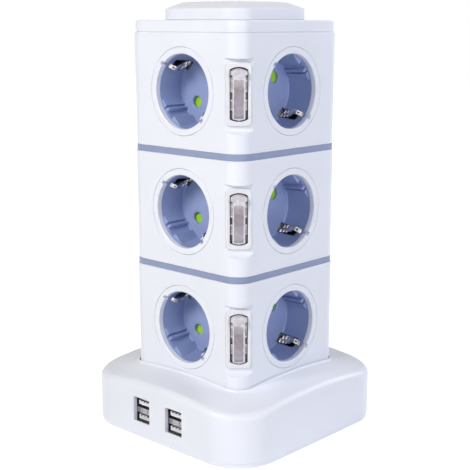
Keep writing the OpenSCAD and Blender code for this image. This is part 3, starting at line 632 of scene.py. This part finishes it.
def makeLid():
    z0 = cap["bottom"] + cap["height"]
    wallTop = z0 + lid["sideHeight"]
    slope = math.degrees(math.atan2(lid["slopeHeight"], lid["slopeWidth"]))
    section = [(lid["foot"], z0 - 0.3), (lid["foot"], z0 + 0.1), (0, z0 + lid["foot"])]
    edge, wide, high = lid["edge"], lid["slopeWidth"], wallTop + lid["slopeHeight"]
    section += [(edge - x, z + wallTop - edge) for x, z in arc(0, 0, edge, 0, 90 - slope, 5)]
    first, firstHeight = section[-1]
    for share in (0.25, 0.5, 0.75, 1.0):
        section.append((first + (wide - first) * share, firstHeight + (high - firstHeight) * share))
    section += [(wide + 3, high + lid["rise"] * 0.6), (wide + 8, high + lid["rise"])]
    rings = []
    for inset, z in section:
        turn = max(lid["cornerRadius"] - inset * 0.6, 3)
        rings.append(ringAt(roundedSquare(lid["width"] - 2 * inset, turn, arcSteps=16), z))
    dress(loft("topLid", rings), whitePlastic, ["top_lid"], 25)


makeCap()
makeLid()
print("tower made")

# Sockets: collars, inserts and earth clips

socket = {
    "recess": 20.0, "floorRadius": 18.5, "depth": 18.6, "collar": 23.55, "collarDepth": 3.2,
    "mouthRound": 0.7, "notchWidth": 2.6, "notchDepth": 1.6, "seamRound": 0.35,
    "cupWall": 1.5, "cupFloor": 1.7, "flange": 26.0, "flangeDepth": 2.2, "flangeThick": 2.0,
    "pinPitch": 19.0, "pinHole": 3.1, "pinTilt": 45,
    "slotHeight": 11.2, "slotWidth": 5.2, "slotRadius": 18.1, "slotSide": 1.4,
}
lug = {
    "face": 17.0, "channel": 2.4, "front": 4.2, "half": 10.0, "flat": 4.6, "groove": 1.1, "rib": 2.0,
    "block": 7.4, "ribRound": 0.9,
}


def makeCollars():
    outer, inner, deep = socket["collar"], socket["recess"], socket["collarDepth"]
    edge, seam, half = socket["mouthRound"], socket["seamRound"], socket["notchWidth"] / 2
    profile = [(outer, -deep)] + arc(outer - seam, -seam, seam, 0, 90, 4)
    profile += arc(inner + edge, -edge, edge, 90, 180, 6) + [(inner, -deep)]
    collar = lathe("collar", profile, 128, loop=True)
    for turn in (90, 270):
        notch = block("notch", inner - 2, inner + socket["notchDepth"], -half, half, -deep - 1, 1)
        bevelEdges(notch, 0.4, 3, 60)
        carve(collar, notch, place=turned(socket["pinTilt"] + turn))
    smoothShade(collar)
    collar.data.transform(sidePlace(0))
    collars = allSockets("collars", collar, collarPlastic)
    leanIn(collars)
    settle(collars, [name + "_collars" for name in tierNames])


def makeInserts():
    deep, back = socket["depth"], socket["depth"] + socket["cupFloor"]
    inner, low, outer = socket["recess"], socket["floorRadius"], socket["recess"] + socket["cupWall"]
    seat, shoulder, flange = socket["collarDepth"], socket["collar"] + 0.15, socket["flange"]
    flangeBack = seat + socket["flangeThick"]
    profile = [(0, -deep), (low - 0.5, -deep), (low, -deep + 0.5), (inner, -seat), (shoulder, -seat),
               (shoulder, -socket["flangeDepth"]), (flange, -socket["flangeDepth"]), (flange, -flangeBack),
               (outer, -flangeBack), (outer, -back), (0, -back)]
    cup = lathe("cup", profile, 128)
    face, half, ribStart = lug["face"], lug["half"], lug["flat"] + lug["groove"] - lug["half"]
    steps = [(-half, lug["flat"] - half, face, 0.2),
             (ribStart, ribStart + lug["rib"], face, lug["ribRound"]),
             (half - lug["block"], half, face, 0.2), (-half, half, face + lug["channel"], 0)]
    reach = [(0, -deep - 1), (inner + 0.8, -deep - 1), (inner + 0.8, 0), (0, 0)]
    for turn in (225, 45):
        for start, end, inside, edge in steps:
            step = block("step", inside, inner + 5, start, end, -deep - 1.6, -lug["front"])
            if edge:
                bevelEdges(step, edge, 4, 60)
            carve(step, lathe("bound", reach, 128), "INTERSECT")
            carve(cup, step, "UNION", turned(turn))
    wide, top = socket["slotWidth"] / 2, socket["slotHeight"] - deep
    start, left = socket["slotRadius"] - 1.4, -wide - socket["slotSide"]
    for turn in (135, 315):
        carve(cup, block("gate", start, outer + 1, left, wide, -back - 1, top), place=turned(turn))
    r = socket["pinHole"]
    bore = [(0, -back - 1), (r, -back - 1), (r, -deep - 0.5), (r + 0.5, -deep + 0.01),
            (r + 0.5, -deep + 2), (0, -deep + 2)]
    for side in (-1, 1):
        place = turned(socket["pinTilt"]) @ moved(side * socket["pinPitch"] / 2, 0, 0)
        carve(cup, lathe("hole", bore, 48), place=place)
    closeShell(cup)
    bevelEdges(cup, 0.22, 2, 40)
    smoothShade(cup)
    cup.data.transform(sidePlace(0))
    inserts = allSockets("inserts", cup, bluePlastic)
    replaced = [name + "_" + side + "_insert" for name in tierNames for side in sideNames]
    settle(inserts, replaced)


clip = {  # ribs as side, height and how far in
    "width": 4.6, "thick": 0.7, "foot": 5.0, "radius": 18.4, "crest": 3.2, "crestHeight": 12.2,
    "height": 15.4, "tip": 0.9, "shift": 1.2, "tipWidth": 2.6, "slit": 0.7, "slitTop": 7.4, "eye": 0.45,
    "ribRound": 0.6, "ribLength": 1.9, "ribOut": 1.3,
    "ribs": ((-1, 6.7, 1.4), (-1, 4.0, 0.7), (1, 5.2, 1.0), (1, 2.4, 0.4), (-1, 1.3, 0.3)),
}


def makeClips():
    deep, r, crest = socket["depth"], clip["radius"], clip["crest"]
    top, tall, shift = clip["crestHeight"], clip["height"], clip["shift"]
    path = [(0, -clip["foot"]), (0, -0.3), (0.2, 2.0), (0.7, 4.6)]
    path += [(crest * share, top * climb) for share, climb in ((0.6, 0.6), (0.87, 0.83), (0.98, 0.94))]
    path += [(crest, top), (crest * 0.93, top + 0.6), (crest * 0.62, top + 1.9), (clip["tip"], tall)]
    rings = []
    for inward, height in path:
        wide = clip["width"] if height < top * 0.85 else clip["tipWidth"]
        near, far, z = r - inward, r - inward + clip["thick"], height - deep
        low, high = -wide / 2 - shift, wide / 2 - shift
        rings.append([(near, low, z), (far, low, z), (far, high, z), (near, high, z)])
    strip = loft("strip", rings)
    for name, half, low, high in (("slit", clip["slit"] / 2, -0.6, clip["slitTop"]),
                                  ("eye", clip["eye"], top + 0.9, tall - 1.2)):
        cutter = block(name, r - 5, r + 3, -half - shift, half - shift, low - deep, high - deep)
        carve(strip, cutter)
    thin, long = clip["ribRound"], clip["ribLength"] / 2
    for side, height, inward in clip["ribs"]:
        rib = lathe("rib", arc(0, -long, thin, -90, 0, 4) + arc(0, long, thin, 0, 90, 4), 16)
        place = moved(r - inward, side * clip["ribOut"] - shift, height - deep)
        carve(strip, rib, "UNION", place @ turned(90, "X"))
    bevelEdges(strip, 0.12, 2, 60)
    smoothShade(strip)
    pair = repeatPiece("pair", strip, clipSteel, around=2)
    pair.data.transform(sidePlace(0) @ turned(135))
    clips = allSockets("earthClips", pair, clipSteel)
    settle(clips, [name + "_earth_clips" for name in tierNames])


makeCollars()
makeInserts()
makeClips()
print("sockets made")

# Rocker switches

switch = {
    "bezelWidth": 13.9, "bezelHeight": 33.1, "bezelRadius": 2.6, "bezelThick": 1.5, "slopeWidth": 1.1,
    "bodyWidth": 11.5, "bodyHeight": 30.0, "depth": 10.0, "openWidth": 9.5, "openHeight": 28.0, "arch": 1.4,
    "rockerWidth": 8.7, "rockerHeight": 27.0, "axisDepth": 1.3, "middle": 3.0, "end": 3.9, "endThick": 3.4,
    "hub": 2.3, "throw": 12.0, "ridge": 3.35, "flankDrop": 0.9, "shoulder": 10.4,
    "windowWidth": 5.0, "windowHeight": 20.2, "windowDrop": 2.2, "windowDeep": 0.16,
    "pips": (7.4, 2.1, -2.8, -7.5), "pipHalf": 0.4, "whiteDeep": -0.9,
}


def archedOutline(width, height, arch):
    radius = (width * width / 4 + arch * arch) / (2 * arch)
    reach = math.degrees(math.asin(width / 2 / radius))
    top = [(x, z + height / 2 - radius) for x, z in arc(0, 0, radius, 90 - reach, 90 + reach, 18)]
    side = height / 2 - arch
    points = [(width / 2, -side + 2 * side * k / 12) for k in range(13)] + top[1:-1]
    return points + [(-x, -y) for x, y in points]


def evenOutline(points, count=112):
    loop = points + points[:1]
    lengths = [0.0]
    for (x0, y0), (x1, y1) in zip(loop, loop[1:]):
        lengths.append(lengths[-1] + math.hypot(x1 - x0, y1 - y0))
    result, k = [], 0
    for step in range(count):
        want = lengths[-1] * step / count
        while lengths[k + 1] < want:
            k += 1
        share = (want - lengths[k]) / max(lengths[k + 1] - lengths[k], 1e-9)
        (x0, y0), (x1, y1) = loop[k], loop[k + 1]
        result.append((x0 + (x1 - x0) * share, y0 + (y1 - y0) * share))
    return result


def startRight(points):  # begin each outline where it crosses +X, so that loops match
    start = min(range(len(points)), key=lambda k: abs(points[k][1]) - points[k][0] * 0.01)
    return points[start:] + points[:start]


def bezelOutline(inset):
    width, height = switch["bezelWidth"] - 2 * inset, switch["bezelHeight"] - 2 * inset
    return startRight(evenOutline(roundedSquare(width, switch["bezelRadius"] - inset, height)))


def openingOutline(grow):
    width, height = switch["openWidth"] + 2 * grow, switch["openHeight"] + 2 * grow
    return startRight(evenOutline(archedOutline(width, height, switch["arch"])))


def makeSwitchBody(level):
    thick, slope, deep = switch["bezelThick"], switch["slopeWidth"], switch["depth"]
    bodyLoop = startRight(evenOutline(roundedSquare(switch["bodyWidth"], 0.5, switch["bodyHeight"])))
    rings = [ringAt(bodyLoop, -deep), ringAt(bodyLoop, 0.02), ringAt(bezelOutline(0.1), 0.02),
             ringAt(bezelOutline(0), 0.15), ringAt(bezelOutline(0), 0.45)]
    for inward, down in quarter(5, 1):
        rings.append(ringAt(bezelOutline(slope * inward), thick - (thick - 0.45) * down))
    for grow, z in ((0.85, thick - 0.06), (0.75, thick - 0.14), (0.12, thick - 0.14),
                    (0.03, thick - 0.19), (0.0, thick - 0.28), (0.0, switch["whiteDeep"]), (0.0, 1 - deep)):
        rings.append(ringAt(openingOutline(grow), z))
    body = loft(tierNames[level] + "Switch", rings)
    paint(body, bezelPlastic, cavityPaintedShade)
    # painted shade: the opening's walls and floor deeper than 1 mm are painted near-black
    wide, tall = switch["openWidth"] / 2 + 0.15, switch["openHeight"] / 2 + 0.2
    for face in body.data.polygons:
        x, y, z = face.center * 1000
        face.material_index = 1 if z < -1 and abs(x) < wide and abs(y) < tall else 0
    smoothShade(body)
    body.data.transform(cornerPlace(tierMiddle(level)))
    leanIn(body)
    settle(body, [tierNames[level] + "_switch_body"])


def edgeDrop(distance, radius):
    if distance >= radius:
        return 0.0
    return radius - math.sqrt(max(radius * radius - (radius - distance) ** 2, 0))


def rockerTop(x, y):  # ends that swing on a circle, low flanks, a sunken window
    half, across = switch["rockerHeight"] / 2, abs(x)
    rise = switch["middle"] + (switch["end"] - switch["middle"]) * (y / half) ** 2
    swing = math.sqrt(max(half * half - y * y, 0.01))
    z = min(rise, swing) - max(0.3 - abs(rise - swing), 0) ** 2 / 1.2
    past, under = across - switch["ridge"], switch["shoulder"] - y
    if past > 0 and under > 0:
        drop = switch["flankDrop"] * min(1, past / 0.3, under / 0.4)
        if min(abs(y - pip) for pip in switch["pips"]) < switch["pipHalf"]:
            drop *= 0.3
        z -= drop
    window = switch["windowWidth"] / 2
    if abs(y + switch["windowDrop"]) < switch["windowHeight"] / 2 and across < window:
        z -= switch["windowDeep"] * min(1, (window - across) / 0.15)
    return z - edgeDrop(switch["rockerWidth"] / 2 - across, 0.3)


def rockerUnder(y):
    half, hub = switch["rockerHeight"] / 2, switch["hub"]
    edge = switch["end"] - switch["endThick"]
    return -hub + (edge + hub) * max(0, abs(y) - hub) / (half - hub)


def rockerRows():
    half = switch["rockerHeight"] / 2
    rows = [k * half / 27 for k in range(-27, 28)]
    middle, reach = -switch["windowDrop"], switch["windowHeight"] / 2
    for edge in (middle - reach, middle + reach):
        rows += [edge - 0.05, edge + 0.05]
    for pip in switch["pips"]:
        rows += [pip + side * (switch["pipHalf"] + soft) for side in (-1, 1) for soft in (-0.05, 0.05)]
    rows += [switch["shoulder"], switch["shoulder"] - 0.4]
    for gap in (1.0, 0.75, 0.6, 0.45, 0.35, 0.2, 0.1, 0.03):
        rows += [gap - half, half - gap]
    return sorted(rows)


def rockerFinish(x, y, z):  # 0 milky, 1 grey flank and 2 near-black flank, both painted shade on the sunken flanks, 3 window
    pips = switch["pips"]
    if abs(x) > switch["ridge"] and y < switch["shoulder"]:
        if min(abs(y - pip) for pip in pips) < switch["pipHalf"]:
            return 0
        # near-black bands of painted shade at mid-height, low down and under the shoulder
        dark = pips[2] < y < pips[1] or y < pips[3] or y > switch["shoulder"] - 1.3
        return 2 if dark else 1
    tall = abs(y + switch["windowDrop"]) < switch["windowHeight"] / 2
    return 3 if tall and abs(x) < switch["windowWidth"] / 2 and z > 1.5 else 0


def makeRocker(level):
    wide, half, arch = switch["rockerWidth"] / 2, switch["rockerHeight"] / 2, switch["arch"]
    radius = (wide * wide + arch * arch) / (2 * arch)
    window, ridge = switch["windowWidth"] / 2, switch["ridge"]
    right = [0.9, 1.7] + [window + gap for gap in (-0.16, -0.01, 0.01, 0.25)]
    right += [ridge + gap for gap in (-0.15, -0.01, 0.15, 0.3, 0.5)]
    right += [wide - gap for gap in (0.3, 0.18, 0.08, 0.02, 0)]
    columns = [-x for x in reversed(right)] + [0] + right
    rows, count = rockerRows(), len(columns)
    verts = []
    for sheet in (0, 1):
        for y in rows:
            for x in columns:
                reach = half - (radius - math.sqrt(radius * radius - x * x))
                under = rockerUnder(y)
                z = under if sheet else max(rockerTop(x, y), under + 0.08)
                verts.append((x, y / half * reach, z))
    top = count * len(rows)
    faces = []
    for j in range(len(rows) - 1):
        for i in range(count - 1):
            a = j * count + i
            faces.append((a, a + 1, a + count + 1, a + count))
            faces.append((top + a, top + a + count, top + a + count + 1, top + a + 1))
        for i in (0, count - 1):
            a = j * count + i
            faces.append((a, a + count, top + a + count, top + a))
    for i in range(count - 1):
        for j in (0, len(rows) - 1):
            a = j * count + i
            faces.append((a, a + 1, top + a + 1, top + a))
    name = tierNames[level] + "_rocker"
    rocker = newObject(tierNames[level] + "Rocker", verts, faces)
    paint(rocker, rockerMilk, flankPaintedShade, flankDeepPaintedShade, rockerWindow)
    for face in rocker.data.polygons:
        face.material_index = rockerFinish(*(v * 1000 for v in face.center))
    smoothShade(rocker, 40)
    nub = lathe("nub", [(0, -0.9), (0.55, -0.9), (0.55, 0.2), (0.4, 0.35), (0, 0.4)], 24)
    paint(nub, rockerMilk)
    carve(rocker, nub, "UNION", moved(0, 0.35 - half, 2.6))
    tilt = moved(0, 0, -switch["axisDepth"]) @ turned(switch["throw"] / 2, "X")
    rocker.data.transform(cornerPlace(tierMiddle(level)) @ tilt)
    settle(rocker, [name], body=name)


shadeWindow(firstMiddle - switch["windowDrop"], switch["windowHeight"] / 2)
for level in range(3):
    makeSwitchBody(level)
    makeRocker(level)
print("switches made")

# USB ports

usb = {
    "slotWidth": 12.5, "slotHeight": 5.4, "slotPitch": 8.4, "slotDrop": 1.2, "slotDepth": 12.0,
    "metal": 0.6, "front": 60.2, "length": 17.0, "half": 7.35, "rim": 0.3, "lipDrop": 1.1, "lipThick": 0.8,
    "tongueThick": 2.4, "tongueLength": 11.2, "tongueRise": -0.2, "groove": 0.7, "grooveLength": 7.5,
    "contactPitch": 2.5, "contactWidth": 1.0, "contactLength": 7.2, "contactThick": 0.25,
}
tongueFront = usb["slotDepth"] - usb["front"] - usb["tongueLength"]
contactPlaces = [(k - 1.5) * usb["contactPitch"] for k in range(4)]


def makePort(side, name, node):
    half, wide, drop = usb["half"], usb["slotWidth"] / 2, usb["slotDrop"]
    out = wide + usb["metal"]
    shell = block(name, -out, out, 0, usb["length"], -half, half)
    bevelEdges(shell, 0.45, 3, 60)
    # a lip under the shell's front, painted near-black as the shade of the gap below the port
    lip = block("lip", -out, out, 0, usb["lipThick"], -half - usb["lipDrop"], 0.6 - half)
    carve(shell, lip, "UNION")
    for up in (-1, 1):
        z, tall = up * usb["slotPitch"] / 2 - drop, usb["slotHeight"] / 2
        low = max(z - tall, usb["rim"] - half)
        carve(shell, block("slot", -wide, wide, -1, usb["slotDepth"], low, z + tall))
    for x in (-2.6, 2.6):  # small pressed windows in the sheet between the slots
        press = block("press", x - 0.9, x + 0.9, -1, 0.25, -0.8 - drop, 0.8 - drop)
        bevelEdges(press, 0.2, 2, 60)
        carve(shell, press)
    closeShell(shell)
    bevelEdges(shell, 0.12, 2, 50)
    paint(shell, portSteel, cavityPaintedShade)
    for face in shell.data.polygons:  # painted shade inside the slots, on the underside and along the lip
        x, y, z = face.center * 1000
        inside = 1.5 < y < 12.5 and abs(x) < 6.4
        face.material_index = 1 if inside or z < -6.9 else 0
    smoothShade(shell)
    shell.data.transform(moved(side * base["usbPitch"] / 2, -usb["front"], base["usbHeight"]))
    settle(shell, [node])


def fillPorts(name, piece, material, replaced):  # one piece into all four slots
    piece.data.transform(moved(-base["usbPitch"] / 2, 0, 0))
    low = base["usbHeight"] - usb["slotDrop"] - usb["slotPitch"] / 2 + usb["tongueRise"]
    column = repeatPiece("column", piece, material, levels=2, step=(0, 0, usb["slotPitch"]))
    every = repeatPiece(name, column, material, levels=2, step=(base["usbPitch"], 0, 0), start=(0, 0, low))
    settle(every, replaced)


def makeTongues():
    half, thick = (usb["slotWidth"] - 1.4) / 2, usb["tongueThick"] / 2
    end, grooveEnd = tongueFront + usb["tongueLength"], tongueFront + usb["grooveLength"]
    tongue = block("tongue", -half, half, tongueFront, end, -thick, thick)
    for x in contactPlaces:
        low = thick - usb["groove"]
        carve(tongue, block("groove", x - 0.7, x + 0.7, tongueFront - 1, grooveEnd, low, 2 * thick))
    closeShell(tongue)
    bevelEdges(tongue, 0.15, 2, 50)
    smoothShade(tongue)
    fillPorts("tongues", tongue, tonguePlastic, ["usb_tongues"])


def makePortContacts():
    start, end = tongueFront + 0.3, tongueFront + 0.3 + usb["contactLength"]
    half, seat = usb["contactWidth"] / 2, usb["tongueThick"] / 2 - usb["groove"]
    strip = block("strip", -half, half, start, end, seat, seat + usb["contactThick"])
    bevelEdges(strip, 0.06, 1, 50)
    smoothShade(strip)
    row = repeatPiece("row", strip, portSteel, levels=4, step=(usb["contactPitch"], 0, 0),
                      start=(contactPlaces[0], 0, 0))
    fillPorts("portContacts", row, portSteel, [])


makePort(-1, "portLeft", "usb_port_left")
makePort(1, "portRight", "usb_port_right")
makeTongues()
makePortContacts()
print("ports made")

# Finishes for the CAD nodes that stay

stays = {
    "base_screws": screwSteel, "usb_board": boardGreen, "tie_rods": screwSteel,
    "supply_bars": contactBrass, "contact_links": contactBrass, "pin_contacts": contactBrass,
}
for name in tierNames:
    stays[name + "_core"] = corePlastic
    for side in sideNames:
        stays[name + "_" + side + "_shutter"] = greenPlastic
for name, material in stays.items():
    paint(nodes[name], material)

# Floor, light and camera

studio = {  # lamps as name, angle round, angle up, size and strength
    "floorSize": 6.0, "floorTint": (0.86, 0.87, 0.89), "horizon": 0.0, "zenith": 0.08,
    "nearGlow": 0.85, "farGlow": 1.05, "nearReach": 0.2, "farReach": 0.7, "lampDistance": 1.5,
    "lamps": (("key", -3, 33, 0.55, (16.3, 15.9, 15.2)), ("fill", 77, 18, 0.9, (8.7, 8.8, 9.4)),
              ("back", 158, 25, 0.9, (8.5, 8.8, 9.6))),
    "camera": (396.2, -426.7, 229.0), "target": (0, 0, 126), "lens": 79.12, "shift": (-0.00015, -0.06264),
}


def seenDirectly(tree):  # 1 for the camera, reflections and glass, 0 for light
    add, link = tree.nodes.new, tree.links.new
    path, seen, orInGlass = add("ShaderNodeLightPath"), add("ShaderNodeMath"), add("ShaderNodeMath")
    seen.operation, orInGlass.operation = "MAXIMUM", "MAXIMUM"
    link(path.outputs["Is Camera Ray"], seen.inputs[0])
    link(path.outputs["Is Glossy Ray"], seen.inputs[1])
    link(seen.outputs["Value"], orInGlass.inputs[0])
    link(path.outputs["Is Transmission Ray"], orInGlass.inputs[1])
    return orInGlass.outputs["Value"]


def makeFloor():
    half = studio["floorSize"] / 2
    corners = [(-half, -half, 0), (half, -half, 0), (half, half, 0), (-half, half, 0)]
    mesh = bpy.data.meshes.new("floor")
    mesh.from_pydata(corners, [], [(0, 1, 2, 3)])
    floor = bpy.data.objects.new("floor", mesh)
    bpy.context.scene.collection.objects.link(floor)
    material = bpy.data.materials.new("paleFloor")
    material.use_nodes = True
    tree = material.node_tree
    tree.nodes.clear()
    add, link = tree.nodes.new, tree.links.new
    result, both = add("ShaderNodeOutputMaterial"), add("ShaderNodeAddShader")
    matte, glow = add("ShaderNodeBsdfDiffuse"), add("ShaderNodeEmission")
    place, reach = add("ShaderNodeTexCoord"), add("ShaderNodeVectorMath")
    fade, power = add("ShaderNodeMapRange"), add("ShaderNodeMath")
    matte.inputs["Color"].default_value = (*studio["floorTint"], 1)
    reach.operation, power.operation = "LENGTH", "MULTIPLY"
    for name, key in (("From Min", "nearReach"), ("From Max", "farReach"), ("To Min", "nearGlow"),
                      ("To Max", "farGlow")):
        fade.inputs[name].default_value = studio[key]
    link(place.outputs["Object"], reach.inputs[0])
    link(reach.outputs["Value"], fade.inputs["Value"])
    link(seenDirectly(tree), power.inputs[0])
    link(fade.outputs["Result"], power.inputs[1])
    link(power.outputs["Value"], glow.inputs["Strength"])
    link(matte.outputs["BSDF"], both.inputs[0])
    link(glow.outputs["Emission"], both.inputs[1])
    link(both.outputs["Shader"], result.inputs["Surface"])
    floor.data.materials.append(material)


def makeWorld():
    world = bpy.data.worlds.new("studioSky")
    bpy.context.scene.world = world
    world.use_nodes = True
    tree = world.node_tree
    add, link = tree.nodes.new, tree.links.new
    sky, place, parts = tree.nodes["Background"], add("ShaderNodeTexCoord"), add("ShaderNodeSeparateXYZ")
    climb, level = add("ShaderNodeMapRange"), add("ShaderNodeMapRange")
    climb.inputs["To Min"].default_value = studio["horizon"]
    climb.inputs["To Max"].default_value = studio["zenith"]
    level.inputs["To Max"].default_value = 1.0
    link(place.outputs["Generated"], parts.inputs["Vector"])
    link(parts.outputs["Z"], climb.inputs["Value"])
    link(climb.outputs["Result"], level.inputs["To Min"])
    link(seenDirectly(tree), level.inputs["Value"])
    link(level.outputs["Result"], sky.inputs["Strength"])
    sky.inputs["Color"].default_value = (1, 1, 1, 1)


def aimAt(name, data, place, target):
    obj = bpy.data.objects.new(name, data)
    bpy.context.scene.collection.objects.link(obj)
    obj.location = place
    obj.rotation_euler = (target - place).to_track_quat("-Z", "Y").to_euler()
    return obj


def makeLamp(name, across, up, size, colour):
    side, climb, target = math.radians(across), math.radians(up), Vector((0, 0, 0.12))
    level = math.cos(climb)
    aim = Vector((level * math.sin(side), -level * math.cos(side), math.sin(climb)))
    data = bpy.data.lights.new(name, "AREA")
    data.shape = "SQUARE"
    data.size = size
    data.energy = max(colour)
    data.color = [value / max(colour) for value in colour]
    aimAt(name, data, target + studio["lampDistance"] * aim, target)


def makeCamera():
    data = bpy.data.cameras.new("photoView")
    data.sensor_width = 36
    data.lens = studio["lens"]
    data.shift_x, data.shift_y = studio["shift"]
    data.clip_start = 0.01
    place, target = Vector(studio["camera"]) * 0.001, Vector(studio["target"]) * 0.001
    bpy.context.scene.camera = aimAt("photoView", data, place, target)


makeFloor()
makeWorld()
for lamp in studio["lamps"]:
    makeLamp(*lamp)
makeCamera()
bpy.context.scene.view_settings.view_transform = "Standard"
print("studio made")
